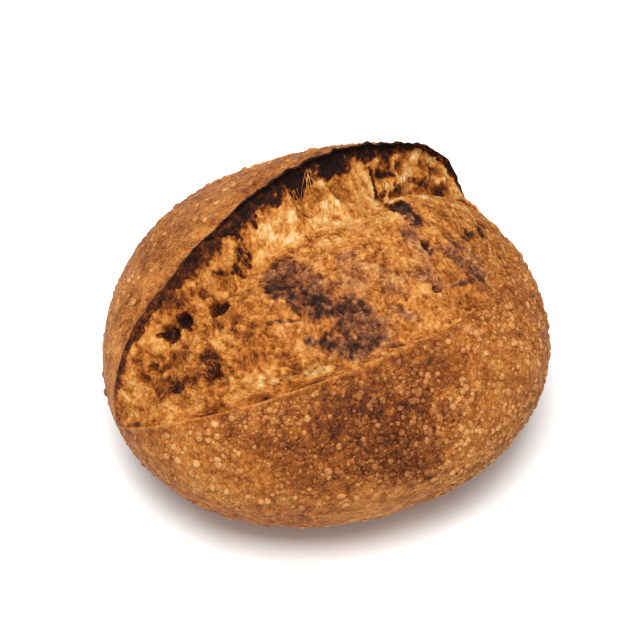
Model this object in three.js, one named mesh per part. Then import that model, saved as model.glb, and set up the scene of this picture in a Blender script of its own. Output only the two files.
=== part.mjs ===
import * as THREE from "three";

// A round sourdough loaf, in mm, standing on its flat base with +Z up.
// The score runs along X. The ear is on its +Y side and the crease is on its -Y side.
// A place on the skin is named by two angles in degrees: alpha goes round from the right end (0)
// over the top (90) to the left end (180), and beta leans towards the back (+) or the front (-).

const loaf = {
  halfLength: 113.0,
  halfWidth: 107.4,
  domeHeight: 117.5,
  widestLevel: 53.3,
  lowerDepth: 69.3,
  fullness: 0.9,
  threeSidedCos: -0.015,
  threeSidedSin: -0.013,
  fourSidedCos: -0.003,
  fourSidedSin: 0.005,
  uneven: 0.7,
  unevenSize: 38.0,
  baseBlend: 25.0,
};

const score = {
  leftEnd: 189.0,
  rightEnd: 6.0,
  leftRounding: 22.0,
  rightRounding: 30.0,
  creaseReach: 37.3,
  creaseCentre: 93.5,
  earReach: 20.95,
  earCentre: 54.6,
  earSpread: 0.713,
  mmPerDegree: 1.9,
};

const ear = {
  height: 12.7,
  riseFrom: 138.5,
  riseOver: 65.4,
  fallFrom: 14.6,
  fallOver: 22.6,
  flapLength: 32.3,
  flapPower: 1.7,
  overhang: -1.2,
  overhangLength: 14.0,
  undercut: 8.0,
  faceWidth: 19.0,
  rightFaceWidth: 12.5,
  faceShare: 0.4,
  ragged: 1.1,
  raggedSize: 9.0,
};

const bloom = {
  fullWidth: 60.0,
  valleyDepth: 10.0,
  valleyWidth: 26.0,
  rightValleyWidth: 9.0,
  sink: 5.3,
  rightSink: 4.0,
  rightFrom: 78.0,
  rightOver: 20.0,
  endSink: 0.4,
  shallowFrom: 14.6,
  shallowOver: 10.8,
  riseWidth: 26.0,
  grooveDepth: 2.6,
  grooveWidth: 7.0,
  grooveSharpness: 1.4,
  lipHeight: 0.6,
  lipWidth: 3.0,
  lipFade: 12.0,
  peelHeight: 2.4,
  peelDepth: 3.2,
  peelCentre: 116.0,
  peelSpread: 11.0,
  lump: 1.5,
  lumpSize: 24.0,
  crag: 0.9,
  cragSize: 9.0,
  cragBorder: 7.0,
  hollowBorder: 3.0,
};

// torn pockets and burst bubbles in the opened crumb: a depth below 0 is a swelling, and a higher
// wall is a steeper one
const hollows = [
  { name: "wedge pocket", alpha: 118.7, beta: 0.8, radius: 6.5, depth: 6.0, wall: 2.6 },
  { name: "round bubble", alpha: 129.6, beta: 3.7, radius: 4.6, depth: 5.5, wall: 3.0 },
  { name: "long bubble", alpha: 135.8, beta: 3.2, radius: 5.4, depth: 4.6, wall: 2.6 },
  { name: "left bubble", alpha: 148.7, beta: -0.6, radius: 3.6, depth: 3.0, wall: 2.4 },
  { name: "left end bubble", alpha: 154.7, beta: -1.0, radius: 3.4, depth: 3.0, wall: 2.4 },
  { name: "pale pocket", alpha: 115.0, beta: 5.5, radius: 8.5, depth: 5.0, wall: 2.0 },
  { name: "crescent pocket", alpha: 133.5, beta: -18.6, radius: 7.0, depth: 4.0, wall: 2.0 },
  { name: "right bubble", alpha: 46.7, beta: -6.0, radius: 3.6, depth: 3.4, wall: 2.4 },
  { name: "right end bubble", alpha: 36.0, beta: -1.6, radius: 3.6, depth: 3.2, wall: 2.4 },
  { name: "middle bubble", alpha: 65.4, beta: -7.3, radius: 3.2, depth: 3.2, wall: 2.4 },
  { name: "low bubble", alpha: 70.0, beta: -21.5, radius: 3.0, depth: 2.6, wall: 2.4 },
  { name: "pocket under the ear", alpha: 75.9, beta: 16.2, radius: 8.0, depth: 4.5, wall: 2.0 },
  { name: "long pocket under the ear", alpha: 86.0, beta: 15.0, radius: 8.0, depth: 4.0, wall: 2.0 },
  { name: "cave at the ear's right", alpha: 47.5, beta: 15.2, radius: 8.0, depth: 5.0, wall: 2.0 },
  { name: "cave at the ear's end", alpha: 37.6, beta: 15.0, radius: 7.0, depth: 4.5, wall: 2.0 },
  { name: "hanging clump", alpha: 107.0, beta: 10.6, radius: 7.0, depth: -3.5, wall: 1.5 },
  { name: "left ridge", alpha: 138.0, beta: -14.0, radius: 12.0, depth: -2.4, wall: 1.5 },
  { name: "burnt crown", alpha: 102.0, beta: -12.0, radius: 26.0, depth: -1.6, wall: 1.5 },
  { name: "dip by the crown", alpha: 122.0, beta: -12.0, radius: 11.0, depth: 1.8, wall: 1.5 },
];

const grid = {
  columns: 132,
  crustRows: 20,
  bloomRows: 36,
  rowCrowding: 1.35,
  endCrowding: 0.35,
};

// moves the middle of the finished loaf's outline onto the origin
const centreShift = { x: 2.01, y: -1.47 };

const wallColour = "#b0743f";

const radians = (degrees) => (degrees * Math.PI) / 180;
const degrees = (angle) => (angle * 180) / Math.PI;
const clamp = (x, low, high) => Math.min(Math.max(x, low), high);
const add = (p, q, scale = 1) => p.map((value, i) => value + q[i] * scale);
const length = (p) => Math.hypot(...p);
const mix = (from, to, share) => from + (to - from) * share;
const unit = (p) => p.map((value) => value / length(p));

function smooth(x) {
  const t = clamp(x, 0, 1);
  return t * t * (3 - 2 * t);
}

// a value from -1 to 1 that belongs to one whole-number place
function lattice(i, j, k) {
  let h = (Math.imul(i, 374761393) + Math.imul(j, 668265263) + Math.imul(k, 2246822519)) >>> 0;
  h = Math.imul(h ^ (h >>> 13), 1274126177) >>> 0;
  return ((h ^ (h >>> 16)) >>> 0) / 2147483648 - 1;
}

// soft lumps about one size across, from -1 to 1
function noise(p, size, seed) {
  const q = p.map((value) => value / size + seed * 17.3);
  const cell = q.map(Math.floor);
  const f = q.map((value, i) => smooth(value - cell[i]));
  let total = 0;
  for (let corner = 0; corner < 8; corner++) {
    const step = [corner & 1, (corner >> 1) & 1, (corner >> 2) & 1];
    const weight = step.reduce((w, on, i) => w * (on ? f[i] : 1 - f[i]), 1);
    total += weight * lattice(cell[0] + step[0], cell[1] + step[1], cell[2] + step[2]);
  }
  return total;
}

function direction(alpha, beta) {
  const a = radians(alpha);
  const b = radians(beta);
  return [Math.cos(a) * Math.cos(b), Math.sin(b), Math.sin(a) * Math.cos(b)];
}

// the loaf before its score opened: a low round body, cut flat below
function bodyPoint([dx, dy, dz]) {
  const rho = Math.max(Math.hypot(dx, dy), 1e-9);
  const phi = Math.atan2(dy, dx);
  const three = loaf.threeSidedCos * Math.cos(3 * phi) + loaf.threeSidedSin * Math.sin(3 * phi);
  const four = loaf.fourSidedCos * Math.cos(4 * phi) + loaf.fourSidedSin * Math.sin(4 * phi);
  const spread = rho ** (loaf.fullness - 1) * (1 + three + four);
  const reach = dz > 0 ? loaf.domeHeight - loaf.widestLevel : loaf.lowerDepth;
  const z = Math.max(loaf.widestLevel + reach * dz, 0);
  return [loaf.halfLength * dx * spread, loaf.halfWidth * dy * spread, z];
}

function bodyNormal([x, y], dz) {
  const { halfLength: a, halfWidth: b, fullness } = loaf;
  const r2 = Math.max((x / a) ** 2 + (y / b) ** 2, 1e-9);
  const slope = r2 ** (1 / fullness - 1) / fullness;
  const reach = dz > 0 ? loaf.domeHeight - loaf.widestLevel : loaf.lowerDepth;
  return unit([(slope * x) / a ** 2, (slope * y) / b ** 2, dz / reach]);
}

function earLine(alpha) {
  return score.earReach * Math.cos(radians(score.earSpread * (alpha - score.earCentre)));
}

function creaseLine(alpha) {
  return -score.creaseReach * Math.cos(radians(alpha - score.creaseCentre));
}

// how open the score is: 1 along it, closing in a round end at both ends
function openness(alpha) {
  const left = clamp((score.leftEnd - alpha) / score.leftRounding, 0, 1);
  const right = clamp((alpha - score.rightEnd) / score.rightRounding, 0, 1);
  return Math.sqrt(1 - (1 - left) ** 2) * Math.sqrt(1 - (1 - right) ** 2);
}

function scoreSides(alpha) {
  const middle = (earLine(alpha) + creaseLine(alpha)) / 2;
  const half = ((earLine(alpha) - creaseLine(alpha)) / 2) * openness(alpha);
  return { earSide: middle + half, creaseSide: middle - half };
}

function earShare(alpha) {
  return smooth((ear.riseFrom - alpha) / ear.riseOver) * smooth((alpha - ear.fallFrom) / ear.fallOver);
}

// everything that the reliefs below need to know about one place on the skin
function placeOf(d, p) {
  const turned = degrees(Math.atan2(d[2], d[0]));
  const alpha = turned < -90 ? turned + 360 : turned;
  const beta = degrees(Math.asin(clamp(d[1], -1, 1)));
  const held = clamp(alpha, score.rightEnd, score.leftEnd);
  const { earSide, creaseSide } = scoreSides(held);
  const share = earShare(alpha);
  const torn = share * ear.ragged;
  const rightFade = smooth((alpha - score.rightEnd) / score.rightRounding);
  const endFade = rightFade * smooth((score.leftEnd - alpha) / bloom.lipFade);
  const peel = Math.exp(-(((alpha - bloom.peelCentre) / bloom.peelSpread) ** 4));
  return {
    p,
    alpha,
    share,
    endFade,
    peel,
    front: (earSide - beta) * score.mmPerDegree,
    past: (beta - creaseSide) * score.mmPerDegree,
    width: (earSide - creaseSide) * score.mmPerDegree,
    beyondEnd: Math.abs(alpha - held) * score.mmPerDegree,
    onBack: beta > (earSide + creaseSide) / 2,
    edgeHeight: ear.height * share + torn * noise(p, ear.raggedSize, 1),
    edgeForward: ear.overhang * share + torn * noise(p, ear.raggedSize, 2),
    lip: bloom.lipHeight * endFade + bloom.peelHeight * peel,
    wavy: loaf.uneven * noise(p, loaf.unevenSize, 3) * smooth(p[2] / loaf.baseBlend),
  };
}

// the crust: lifted into the ear behind the score, with a thin lip in front of it
function crustRelief(place) {
  if (place.onBack) {
    const away = Math.hypot(Math.max(-place.front, 0), place.beyondEnd);
    return {
      rise: place.edgeHeight * Math.exp(-((away / ear.flapLength) ** ear.flapPower)) + place.wavy,
      forward: place.edgeForward * Math.exp(-((away / ear.overhangLength) ** 1.5)),
    };
  }
  const away = Math.hypot(Math.max(-place.past, 0), place.beyondEnd);
  return { rise: place.lip * Math.exp(-((away / bloom.lipWidth) ** 2)) + place.wavy, forward: 0 };
}

function hollowAt(place) {
  const fade = smooth(Math.min(place.front, place.past) / bloom.hollowBorder);
  let depth = 0;
  for (const hollow of hollows) {
    const centre = bodyPoint(direction(hollow.alpha, hollow.beta));
    const away = length(add(place.p, centre, -1)) / hollow.radius;
    depth += hollow.depth * smooth(hollow.wall * (1 - away));
  }
  return depth * fade;
}

// the bloom: the ear's hollow inner face, a valley at its foot, the swollen crumb and the crease
function bloomRelief(place) {
  const { front, past, width, alpha, share, peel, endFade } = place;
  const right = smooth((bloom.rightFrom - alpha) / bloom.rightOver);
  const faceWidth = mix(ear.faceWidth, ear.rightFaceWidth, right);
  const valleyWidth = mix(bloom.valleyWidth, bloom.rightValleyWidth, right);
  const face = Math.max(Math.min(faceWidth, width * ear.faceShare), 1e-6);
  const down = clamp(front / face, 0, 1);
  const size = clamp(width / bloom.fullWidth, 0, 1);
  const deep = smooth((alpha - bloom.shallowFrom) / bloom.shallowOver);
  const valley = bloom.valleyDepth * size * deep;
  const sink = mix(bloom.sink, bloom.rightSink, right) * size * mix(bloom.endSink, 1, deep);
  const floor = mix(valley, sink, smooth((front - face) / valleyWidth));
  const rising = smooth(1 - past / bloom.riseWidth);
  const groove = ((past - bloom.grooveWidth) / bloom.grooveWidth) * bloom.grooveSharpness;
  const grooveDepth = (bloom.grooveDepth * endFade + bloom.peelDepth * peel) * size;
  const inner = smooth(Math.min(front, past) / bloom.cragBorder);
  let rise = (place.edgeHeight * (1 - smooth(down)) - floor * smooth(down)) * (1 - rising);
  rise -= grooveDepth * Math.exp(-(groove ** 2));
  rise += place.lip * Math.exp(-((past / bloom.lipWidth) ** 2));
  rise += inner * bloom.lump * noise(place.p, bloom.lumpSize, 4);
  rise += inner * bloom.crag * noise(place.p, bloom.cragSize, 5);
  rise += place.wavy - hollowAt(place);
  const under = ear.undercut * share * Math.sin(Math.PI * down ** 0.6) * Math.sqrt(1 - down);
  return { rise, forward: place.edgeForward * (1 - down) ** 2 - under };
}

function skin(d, isBloom) {
  const p = bodyPoint(d);
  const n = bodyNormal(p, d[2]);
  const place = placeOf(d, p);
  const { rise, forward } = isBloom ? bloomRelief(place) : crustRelief(place);
  const toFront = [n[0] * n[1], n[1] ** 2 - 1, n[1] * n[2]];
  const steepness = Math.max(length(toFront), 1e-6);
  return add(add(p, n, rise), toFront, forward / steepness);
}

// the direction a share t of the way from a to b
function between(a, b, t) {
  const angle = Math.acos(clamp(a[0] * b[0] + a[1] * b[1] + a[2] * b[2], -1, 1));
  if (angle < 1e-3) return unit(add(a, add(b, a, -1), t));
  return unit(a.map((value, i) => value * Math.sin((1 - t) * angle) + b[i] * Math.sin(t * angle)));
}

// directions along the two sides of the score, from its left end to its right end
function scoreDirections() {
  const half = grid.columns / 2;
  const sides = { ear: [], crease: [] };
  for (let i = 0; i <= half; i++) {
    const u = i / half;
    const eased = grid.endCrowding * (0.5 - 0.5 * Math.cos(Math.PI * u)) + (1 - grid.endCrowding) * u;
    const alpha = score.leftEnd + (score.rightEnd - score.leftEnd) * eased;
    const { earSide, creaseSide } = scoreSides(alpha);
    sides.ear.push(direction(alpha, earSide));
    sides.crease.push(direction(alpha, creaseSide));
  }
  return sides;
}

// directions of the edge of the flat base, starting at the left and going the ear's way round
function baseDirections() {
  const z = -loaf.widestLevel / loaf.lowerDepth;
  const r = Math.sqrt(1 - z * z);
  return Array.from({ length: grid.columns }, (_, i) => {
    const phi = Math.PI - (2 * Math.PI * i) / grid.columns;
    return [r * Math.cos(phi), r * Math.sin(phi), z];
  });
}

function buildLoaf() {
  const { columns, crustRows, bloomRows } = grid;
  const half = columns / 2;
  const sides = scoreDirections();
  const outline = sides.ear.slice(0, half).concat(sides.crease.slice(1).reverse());
  const base = baseDirections();
  const points = [];
  const faces = [];
  const put = (point) => points.push(point) - 1;
  const triangle = (a, b, c) => {
    if (a !== b && b !== c && c !== a) faces.push(a, b, c);
  };
  const quad = (a, b, c, d) => {
    triangle(a, b, c);
    triangle(a, c, d);
  };

  // crust, from the score's outline down to the base
  const crust = [];
  for (let row = 0; row <= crustRows; row++) {
    crust.push(
      outline.map((start, i) => {
        const [x, y, z] = skin(between(start, base[i], row / crustRows), false);
        return put([x, y, row === crustRows ? 0 : z]);
      }),
    );
  }
  for (let row = 0; row < crustRows; row++) {
    for (let i = 0; i < columns; i++) {
      const next = (i + 1) % columns;
      quad(crust[row][i], crust[row][next], crust[row + 1][next], crust[row + 1][i]);
    }
  }

  // flat base
  const middle = put([0, 0, 0]);
  for (let i = 0; i < columns; i++) {
    triangle(crust[crustRows][i], crust[crustRows][(i + 1) % columns], middle);
  }

  // bloom, across the score from the ear to the crease
  const ends = [crust[0][0], crust[0][half]];
  const rows = [];
  for (let row = 0; row <= bloomRows; row++) {
    const t = (row / bloomRows) ** grid.rowCrowding;
    rows.push(
      sides.ear.map((start, i) => {
        if (i === 0) return ends[0];
        if (i === half) return ends[1];
        if (row === 0) return crust[0][i];
        if (row === bloomRows) return crust[0][columns - i];
        return put(skin(between(start, sides.crease[i], t), true));
      }),
    );
  }
  for (let row = 0; row < bloomRows; row++) {
    for (let i = 0; i < half; i++) {
      quad(rows[row][i + 1], rows[row][i], rows[row + 1][i], rows[row + 1][i + 1]);
    }
  }

  const positions = points.flatMap(([x, y, z]) => [x + centreShift.x, y + centreShift.y, z]);
  const geometry = new THREE.BufferGeometry();
  geometry.setAttribute("position", new THREE.Float32BufferAttribute(positions, 3));
  geometry.setIndex(faces);
  geometry.computeVertexNormals();
  return geometry;
}

const material = new THREE.MeshStandardMaterial({ color: wallColour, roughness: 0.75, metalness: 0 });
const loafMesh = new THREE.Mesh(buildLoaf(), material);
loafMesh.name = "loaf";

const group = new THREE.Group();
group.name = "sourdough_loaf";
group.add(loafMesh);

export default group;
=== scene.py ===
import math

import bpy
import numpy as np
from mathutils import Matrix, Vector


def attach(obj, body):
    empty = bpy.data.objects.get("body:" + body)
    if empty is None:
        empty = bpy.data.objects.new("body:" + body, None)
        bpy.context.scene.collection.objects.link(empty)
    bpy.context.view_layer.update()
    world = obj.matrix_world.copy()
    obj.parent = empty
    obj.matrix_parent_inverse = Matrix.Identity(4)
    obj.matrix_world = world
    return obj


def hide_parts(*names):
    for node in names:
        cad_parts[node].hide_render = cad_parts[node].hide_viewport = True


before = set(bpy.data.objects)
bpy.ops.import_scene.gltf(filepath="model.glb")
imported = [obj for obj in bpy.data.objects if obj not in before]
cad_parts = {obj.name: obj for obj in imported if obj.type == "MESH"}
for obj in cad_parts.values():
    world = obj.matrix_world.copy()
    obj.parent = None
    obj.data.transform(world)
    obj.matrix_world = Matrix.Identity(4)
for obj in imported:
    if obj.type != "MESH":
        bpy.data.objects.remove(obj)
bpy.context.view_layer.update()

# Lengths are in millimetres until a mesh is made. A place on the loaf's skin has two angles in degrees:
# alpha runs from the right end (0) over the top (90) to the left end (180), and beta leans to the back
# above 0 and to the front below it.
loaf = {
    "halfLength": 113.0,
    "halfWidth": 107.4,
    "domeHeight": 117.5,
    "widestLevel": 53.3,
    "lowerDepth": 69.3,
    "fullness": 0.9,
    "threeSided": (-0.015, -0.013),
    "fourSided": (-0.003, 0.005),
    "uneven": 0.7,
    "unevenSize": 38.0,
    "baseBlend": 25.0,
    "centreShift": (2.01, -1.47, 0.0),
}
score = {
    "leftEnd": 189.0,
    "rightEnd": 6.0,
    "leftRounding": 22.0,
    "rightRounding": 30.0,
    "creaseReach": 37.3,
    "creaseCentre": 93.5,
    "earReach": 20.95,
    "earCentre": 54.6,
    "earSpread": 0.713,
    "mmPerDegree": 1.9,
}
ear = {
    "height": 12.7,
    "riseFrom": 138.5,
    "riseOver": 65.4,
    "fallFrom": 14.6,
    "fallOver": 22.6,
    "flapLength": 32.3,
    "overhang": -1.2,
    "undercut": 8.0,
    "faceWidth": 19.0,
    "rightFaceWidth": 12.5,
    "ragged": 1.1,
    "raggedSize": 9.0,
    "fineRagged": 0.45,
    "fineRaggedSize": 2.6,
    "bead": 1.7,
    "beadWidth": 2.6,
    "beadGroove": 1.5,
    "char": 0.9,
    "charSize": 3.2,
    "charWidth": 7.0,
}
bloom = {
    "valleyDepth": 10.0,
    "valleyWidth": 26.0,
    "rightValleyWidth": 9.0,
    "sink": 5.3,
    "rightSink": 4.0,
    "rightFrom": 78.0,
    "rightOver": 20.0,
    "endSink": 0.4,
    "shallowFrom": 14.6,
    "shallowOver": 10.8,
    "riseWidth": 26.0,
    "grooveDepth": 2.6,
    "grooveWidth": 7.0,
    "grooveSharpness": 1.4,
    "lipHeight": 0.6,
    "lipWidth": 3.0,
    "lipFade": 12.0,
    "peelHeight": 2.4,
    "peelDepth": 3.2,
    "peelCentre": 116.0,
    "peelSpread": 11.0,
    "lump": 1.5,
    "lumpSize": 24.0,
    "crag": 0.9,
    "cragSize": 9.0,
}
# the hidden surface that closes the crust and the bloom below: how fast it sinks and steps back from the
# ear's edge, and its browning there and further in
underside = {
    "sinkOver": 3.0,
    "back": 1.5,
    "backSlope": 2.6,
    "backFrom": 0.6,
    "backTo": 45.0,
    "backOver": 15.0,
    "edgeTone": 0.93,
    "innerTone": 0.5,
    "edgeShare": 0.05,
    "edgeOver": 0.06,
}


def hollow(name, at, radius, depth, wall, tone):
    return {"name": name, "at": at, "radius": radius, "depth": depth, "wall": wall, "tone": tone}


# where each torn pocket or bubble is, its radius, its depth, its wall and how much painted shade darkens it
# inside; a depth below 0 is a swelling, and a higher wall is a steeper one
hollows = [
    hollow("wedge pocket", (118.7, 0.8), 6.5, 6.0, 2.6, 0.45),
    hollow("round bubble", (129.6, 3.7), 4.6, 5.5, 3.0, 0.42),
    hollow("long bubble", (135.8, 3.2), 5.4, 4.6, 2.6, 0.35),
    hollow("left bubble", (148.7, -0.6), 3.6, 3.0, 2.4, 0.2),
    hollow("left end bubble", (154.7, -1.0), 3.4, 3.0, 2.4, 0.2),
    hollow("pale pocket", (115.0, 5.5), 8.5, 5.0, 2.0, 0.0),
    hollow("crescent pocket", (133.5, -18.6), 7.0, 4.0, 2.0, 0.1),
    hollow("right bubble", (46.7, -6.0), 3.6, 3.4, 2.4, 0.4),
    hollow("right end bubble", (36.0, -1.6), 3.6, 3.2, 2.4, 0.4),
    hollow("middle bubble", (65.4, -7.3), 3.2, 3.2, 2.4, 0.4),
    hollow("low bubble", (70.0, -21.5), 3.0, 2.6, 2.4, 0.4),
    hollow("pocket under the ear", (75.9, 16.2), 8.0, 4.5, 2.0, 0.3),
    hollow("long pocket under the ear", (86.0, 15.0), 8.0, 4.0, 2.0, 0.15),
    hollow("cave at the ear's right", (47.5, 15.2), 8.0, 5.0, 2.0, 0.1),
    hollow("cave at the ear's end", (37.6, 15.0), 7.0, 4.5, 2.0, 0.05),
    hollow("hanging clump", (107.0, 10.6), 7.0, -3.5, 1.5, 0.0),
    hollow("left ridge", (138.0, -14.0), 12.0, -2.4, 1.5, 0.0),
    hollow("burnt crown", (102.0, -12.0), 26.0, -1.6, 1.5, 0.0),
    hollow("dip by the crown", (122.0, -12.0), 11.0, 1.8, 1.5, 0.0),
]


def smooth(x):
    x = np.clip(x, 0, 1)
    return x*x*(3-2*x)


def mix(start, end, share):
    return start+(end-start)*share


def lattice(i, j, k):  # a value from -1 to 1 that belongs to one whole-number place
    h = (i*374761393+j*668265263+k*2246822519) & 0xffffffff
    h = ((h ^ (h >> 13))*1274126177) & 0xffffffff
    return (h ^ (h >> 16))/2147483648.0-1


def noise(p, size, seed=0):  # soft lumps about one size across, from -1 to 1
    q = p/size+seed*17.3
    cell = np.floor(q).astype(np.int64)
    f = smooth(q-cell)
    total = np.zeros(q.shape[:-1])
    for corner in range(8):
        step = (corner & 1, corner >> 1 & 1, corner >> 2 & 1)
        weight = 1.0
        for axis in range(3):
            weight = weight*(f[..., axis] if step[axis] else 1-f[..., axis])
        total += weight*lattice(*(cell[..., axis]+step[axis] for axis in range(3)))
    return total


def layeredNoise(p, size, layers, seed=0):
    return sum(noise(p, size/2**n, seed+n)/2**n for n in range(layers))/(2-0.5**(layers-1))


def bubbles(p, size, seed=0):  # distance to the nearest of scattered points, in sizes
    q = p/size+seed*11.7
    cell = np.floor(q).astype(np.int64)
    nearest = np.full(q.shape[:-1], 9.0)
    for i in (-1, 0, 1):
        for j in (-1, 0, 1):
            for k in (-1, 0, 1):
                place = [cell[..., 0]+i, cell[..., 1]+j, cell[..., 2]+k]
                offset = [place[axis]+0.5+0.5*lattice(place[0]+71*axis, place[1], place[2])-q[..., axis]
                          for axis in range(3)]
                nearest = np.minimum(nearest, offset[0]**2+offset[1]**2+offset[2]**2)
    return np.sqrt(nearest)


def direction(alpha, beta):
    a, b = np.radians(alpha), np.radians(beta)
    return np.stack([np.cos(a)*np.cos(b), np.sin(b)*np.ones_like(a), np.sin(a)*np.cos(b)], -1)


def bodyPoint(d):  # the loaf before its score opened: a low round body, cut flat below
    rho = np.maximum(np.hypot(d[..., 0], d[..., 1]), 1e-9)
    phi = np.arctan2(d[..., 1], d[..., 0])
    threeCos, threeSin = loaf["threeSided"]
    fourCos, fourSin = loaf["fourSided"]
    sides = threeCos*np.cos(3*phi)+threeSin*np.sin(3*phi)+fourCos*np.cos(4*phi)+fourSin*np.sin(4*phi)
    spread = rho**(loaf["fullness"]-1)*(1+sides)
    reach = np.where(d[..., 2] > 0, loaf["domeHeight"]-loaf["widestLevel"], loaf["lowerDepth"])
    z = np.maximum(loaf["widestLevel"]+reach*d[..., 2], 0)
    return np.stack([loaf["halfLength"]*d[..., 0]*spread, loaf["halfWidth"]*d[..., 1]*spread, z], -1)


def unit(v):
    return v/np.maximum(np.linalg.norm(v, axis=-1, keepdims=True), 1e-9)


def bodyNormal(p, d):
    a, b, fullness = loaf["halfLength"], loaf["halfWidth"], loaf["fullness"]
    r2 = np.maximum((p[..., 0]/a)**2+(p[..., 1]/b)**2, 1e-9)
    slope = r2**(1/fullness-1)/fullness
    reach = np.where(d[..., 2] > 0, loaf["domeHeight"]-loaf["widestLevel"], loaf["lowerDepth"])
    return unit(np.stack([slope*p[..., 0]/a**2, slope*p[..., 1]/b**2, d[..., 2]/reach], -1))


def earLine(alpha):
    return score["earReach"]*np.cos(np.radians(score["earSpread"]*(alpha-score["earCentre"])))


def creaseLine(alpha):
    return -score["creaseReach"]*np.cos(np.radians(alpha-score["creaseCentre"]))


def scoreSides(alpha):  # the score closes in a round end at both ends
    left = np.clip((score["leftEnd"]-alpha)/score["leftRounding"], 0, 1)
    right = np.clip((alpha-score["rightEnd"])/score["rightRounding"], 0, 1)
    openness = np.sqrt(1-(1-left)**2)*np.sqrt(1-(1-right)**2)
    middle = (earLine(alpha)+creaseLine(alpha))/2
    half = (earLine(alpha)-creaseLine(alpha))/2*openness
    return middle+half, middle-half


def placeOf(d, p):  # what the reliefs and the colours need to know about places on the skin
    alpha = np.degrees(np.arctan2(d[..., 2], d[..., 0]))
    alpha = np.where(alpha < -90, alpha+360, alpha)
    beta = np.degrees(np.arcsin(np.clip(d[..., 1], -1, 1)))
    held = np.clip(alpha, score["rightEnd"], score["leftEnd"])
    earSide, creaseSide = scoreSides(held)
    rise = smooth((ear["riseFrom"]-alpha)/ear["riseOver"])
    share = rise*smooth((alpha-ear["fallFrom"])/ear["fallOver"])
    torn = share*ear["ragged"]
    fine = (0.35+0.65*share)*ear["fineRagged"]
    rightFade = smooth((alpha-score["rightEnd"])/score["rightRounding"])
    endFade = rightFade*smooth((score["leftEnd"]-alpha)/bloom["lipFade"])
    peel = np.exp(-((alpha-bloom["peelCentre"])/bloom["peelSpread"])**4)
    k = score["mmPerDegree"]
    return {
        "p": p, "alpha": alpha, "beta": beta, "share": share, "endFade": endFade, "peel": peel,
        "front": (earSide-beta)*k, "past": (beta-creaseSide)*k, "width": (earSide-creaseSide)*k,
        "beyondEnd": np.abs(alpha-held)*k, "onBack": beta > (earSide+creaseSide)/2,
        "edgeHeight": ear["height"]*share+torn*noise(p, ear["raggedSize"], 1)
        + fine*noise(p, ear["fineRaggedSize"], 21),
        "edgeForward": ear["overhang"]*share+torn*noise(p, ear["raggedSize"], 2)
        + fine*noise(p, ear["fineRaggedSize"], 22),
        "lip": bloom["lipHeight"]*endFade+bloom["peelHeight"]*peel*(1+0.35*noise(p, 5.0, 23)),
        "bead": ear["bead"]*smooth((165-alpha)/25)*smooth((alpha-12)/14)*(1+0.3*noise(p, 6.0, 24)),
        "char": ear["char"]*(noise(p, ear["charSize"], 25)+0.6*noise(p, ear["charSize"]/2, 26))
        * smooth((170-alpha)/30),
        "wavy": loaf["uneven"]*noise(p, loaf["unevenSize"], 3)*smooth(p[..., 2]/loaf["baseBlend"]),
    }


def crustRelief(place):  # lifted into the ear behind the score, with a thin lip in front of it
    away = np.hypot(np.maximum(-place["front"], 0), place["beyondEnd"])
    backRise = place["edgeHeight"]*np.exp(-(away/ear["flapLength"])**1.7)
    backForward = place["edgeForward"]*np.exp(-(away/14)**1.5)
    away = np.hypot(np.maximum(-place["past"], 0), place["beyondEnd"])
    frontRise = place["lip"]*np.exp(-(away/bloom["lipWidth"])**2)
    backRise = backRise+place["bead"]*np.exp(-(np.maximum(-place["front"], 0)/ear["beadWidth"])**2)
    backRise = backRise+place["char"]*np.exp(place["front"]/2.5)*place["onBack"]
    rise = np.where(place["onBack"], backRise, frontRise)+place["wavy"]
    return rise, np.where(place["onBack"], backForward, 0)


def insideHollows(place, rim):  # each hollow, and how far inside it the places are
    for dent in hollows:
        centre = bodyPoint(direction(np.array(dent["at"][0]), np.array(dent["at"][1])))
        away = np.linalg.norm(place["p"]-centre, axis=-1)/dent["radius"]
        yield dent, smooth(dent["wall"]*(rim-away))


def hollowDepth(place):
    depth = 0
    for dent, share in insideHollows(place, 1):
        depth = depth+dent["depth"]*share
    return depth*smooth(np.minimum(place["front"], place["past"])/3)


def hollowShadeAndInside(place):  # how much painted shade darkens the hollows inside, and how far inside one a place is
    tone, inside = 0, 0
    for dent, share in insideHollows(place, 1.05):
        tone = np.maximum(tone, dent["tone"]*share)
        inside = np.maximum(inside, share*(dent["depth"] > 2.5))
    return tone, inside


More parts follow.
